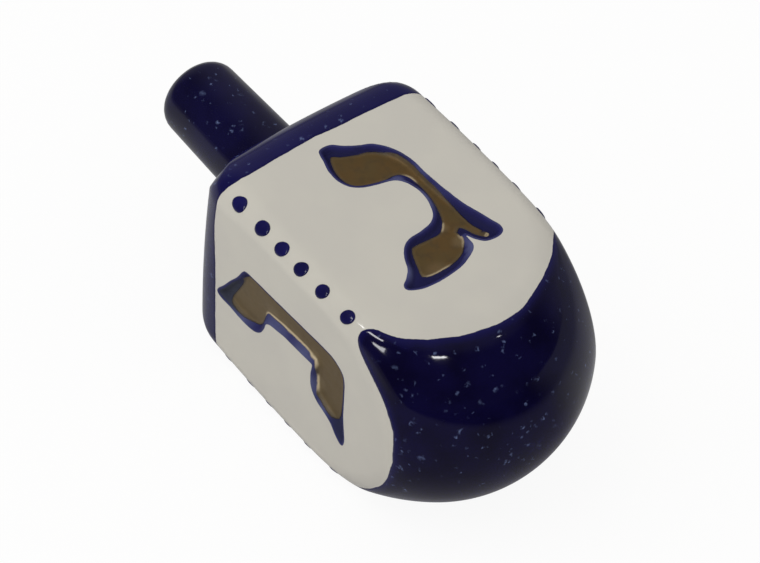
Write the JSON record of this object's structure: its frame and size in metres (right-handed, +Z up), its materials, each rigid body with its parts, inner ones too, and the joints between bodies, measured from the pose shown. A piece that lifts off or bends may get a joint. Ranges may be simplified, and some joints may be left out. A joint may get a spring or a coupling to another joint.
{
  "type": "ceramic dreidel",
  "caption": "Four-sided glazed ceramic spinning top with rounded edges, a ball end to spin on, a straight round stem and rows of raised glaze dots.",
  "frame": {"origin": "bottom centre of the whole object as it lies on one flat face: under the middle of its length, on the ground", "axes": "+X along the spinning axis towards the ball end, with the stem towards -X; +Z up through the gimel face; -Y through the nun face"},
  "size_m": [0.113, 0.05, 0.05],
  "materials": {
    "body_glaze": "gloss",
    "cobalt_glaze": "gloss",
    "dot_glaze": "gloss",
    "gold_lustre": "satin"
  },
  "bodies": {
    "root": {"body": "body_glaze", "stem": "cobalt_glaze", "dots_nun_gimel": "dot_glaze", "dots_gimel_he": "dot_glaze", "dots_he_shin": "dot_glaze", "dots_shin_nun": "dot_glaze"}
  },
  "joints": []
}
